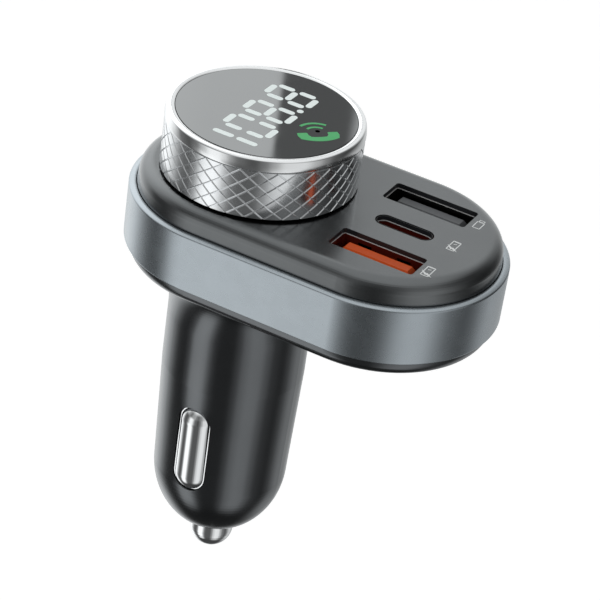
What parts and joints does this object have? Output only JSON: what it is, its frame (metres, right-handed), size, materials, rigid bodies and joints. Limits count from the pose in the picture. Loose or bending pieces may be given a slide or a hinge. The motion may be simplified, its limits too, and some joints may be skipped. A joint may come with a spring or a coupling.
{
  "type": "car fm transmitter",
  "caption": "Car FM transmitter and charger: oval head with a metal band, knurled press-and-turn knob round a round display, USB ports, and a 12 V plug barrel with sprung contacts.",
  "frame": {"origin": "on the plug barrel's axis, where its straight wall ends and the flare under the head starts", "axes": "+Z along the barrel's axis up through the display, +X along the head towards the ports, +Y across the head"},
  "size_m": [0.0562, 0.034, 0.075],
  "materials": {
    "shell_paint": "satin grey paint with fine metal flake",
    "band_metal": "polished blue-grey metal",
    "housing_plastic": "satin dark grey moulding",
    "board_resin": "green solder resist",
    "steel": "plain bright steel",
    "black_plastic": "matte black moulding",
    "ferrite": "dark ferrite",
    "can_aluminium": "bare aluminium can",
    "port_metal": "dull plated steel",
    "orange_plastic": "orange connector plastic",
    "grey_plastic": "grey connector plastic",
    "gold_plate": "gold plated strip",
    "spring_brass": "spring bronze",
    "light_plastic": "white diffusing resin",
    "block_plastic": "black faced segment block",
    "green_plastic": "green diffusing resin",
    "smoked_glass": "smoked mirror-backed glass",
    "knob_metal": "bright diamond-cut aluminium",
    "magnet_metal": "nickel plated magnet",
    "contact_chrome": "mirror nickel plate"
  },
  "bodies": {
    "housing": {"upper_shell": "shell_paint", "trim_band": "band_metal", "lower_housing": "housing_plastic", "main_board": "board_resin", "board_screws": "steel", "power_board": "board_resin", "board_header": "black_plastic", "inductor": "ferrite", "capacitors": "can_aluminium", "power_chip": "black_plastic", "radio_chip": "black_plastic", "crystal": "steel", "switch_body": "black_plastic", "fast_usb_shell": "port_metal", "fast_usb_tongue": "orange_plastic", "fast_usb_contacts": "gold_plate", "media_usb_shell": "port_metal", "media_usb_tongue": "grey_plastic", "media_usb_contacts": "gold_plate", "usb_c_shell": "port_metal", "usb_c_tongue": "black_plastic", "spring_seat": "spring_brass", "pin_spring": "steel"},
    "display_stage": {"display_carrier": "black_plastic", "retaining_ring": "steel", "display_board": "board_resin", "display_leds": "light_plastic", "segment_block": "block_plastic", "display_digits": "light_plastic", "call_light": "green_plastic", "microphone": "steel", "hall_sensor": "black_plastic", "display_lens": "smoked_glass", "detent_spring": "spring_brass", "switch_button": "black_plastic"},
    "knob": {"knob_sleeve": "black_plastic", "grip_ring": "knob_metal", "rim_ring": "knob_metal", "encoder_wheel": "black_plastic", "ring_magnets": "magnet_metal"},
    "pin": {"centre_pin": "contact_chrome"},
    "front_contact": {"contact_front": "contact_chrome", "leaf_front": "spring_brass"},
    "back_contact": {"contact_back": "contact_chrome", "leaf_back": "spring_brass"}
  },
  "joints": [
    {"name": "knob_press", "type": "slide", "parent": "housing", "child": "display_stage", "axis": [0, 0, -1], "range_m": [0, 0.0004], "stiffness_N_per_m": 4000, "springref_m": -0.0002},
    {"name": "knob_turn", "type": "hinge", "parent": "display_stage", "child": "knob", "pos_m": [0, 0, 0.027], "axis": [0, 0, 1], "continuous": true},
    {"name": "pin_press", "type": "slide", "parent": "housing", "child": "pin", "axis": [0, 0, 1], "range_m": [0, 0.002], "stiffness_N_per_m": 1500, "springref_m": -0.001, "deforming": ["pin_spring"]},
    {"name": "contact_front_press", "type": "slide", "parent": "housing", "child": "front_contact", "axis": [0, 1, 0], "range_m": [0, 0.0009], "stiffness_N_per_m": 3000, "springref_m": -0.0005},
    {"name": "contact_back_press", "type": "slide", "parent": "housing", "child": "back_contact", "axis": [0, -1, 0], "range_m": [0, 0.0009], "stiffness_N_per_m": 3000, "springref_m": -0.0005}
  ]
}
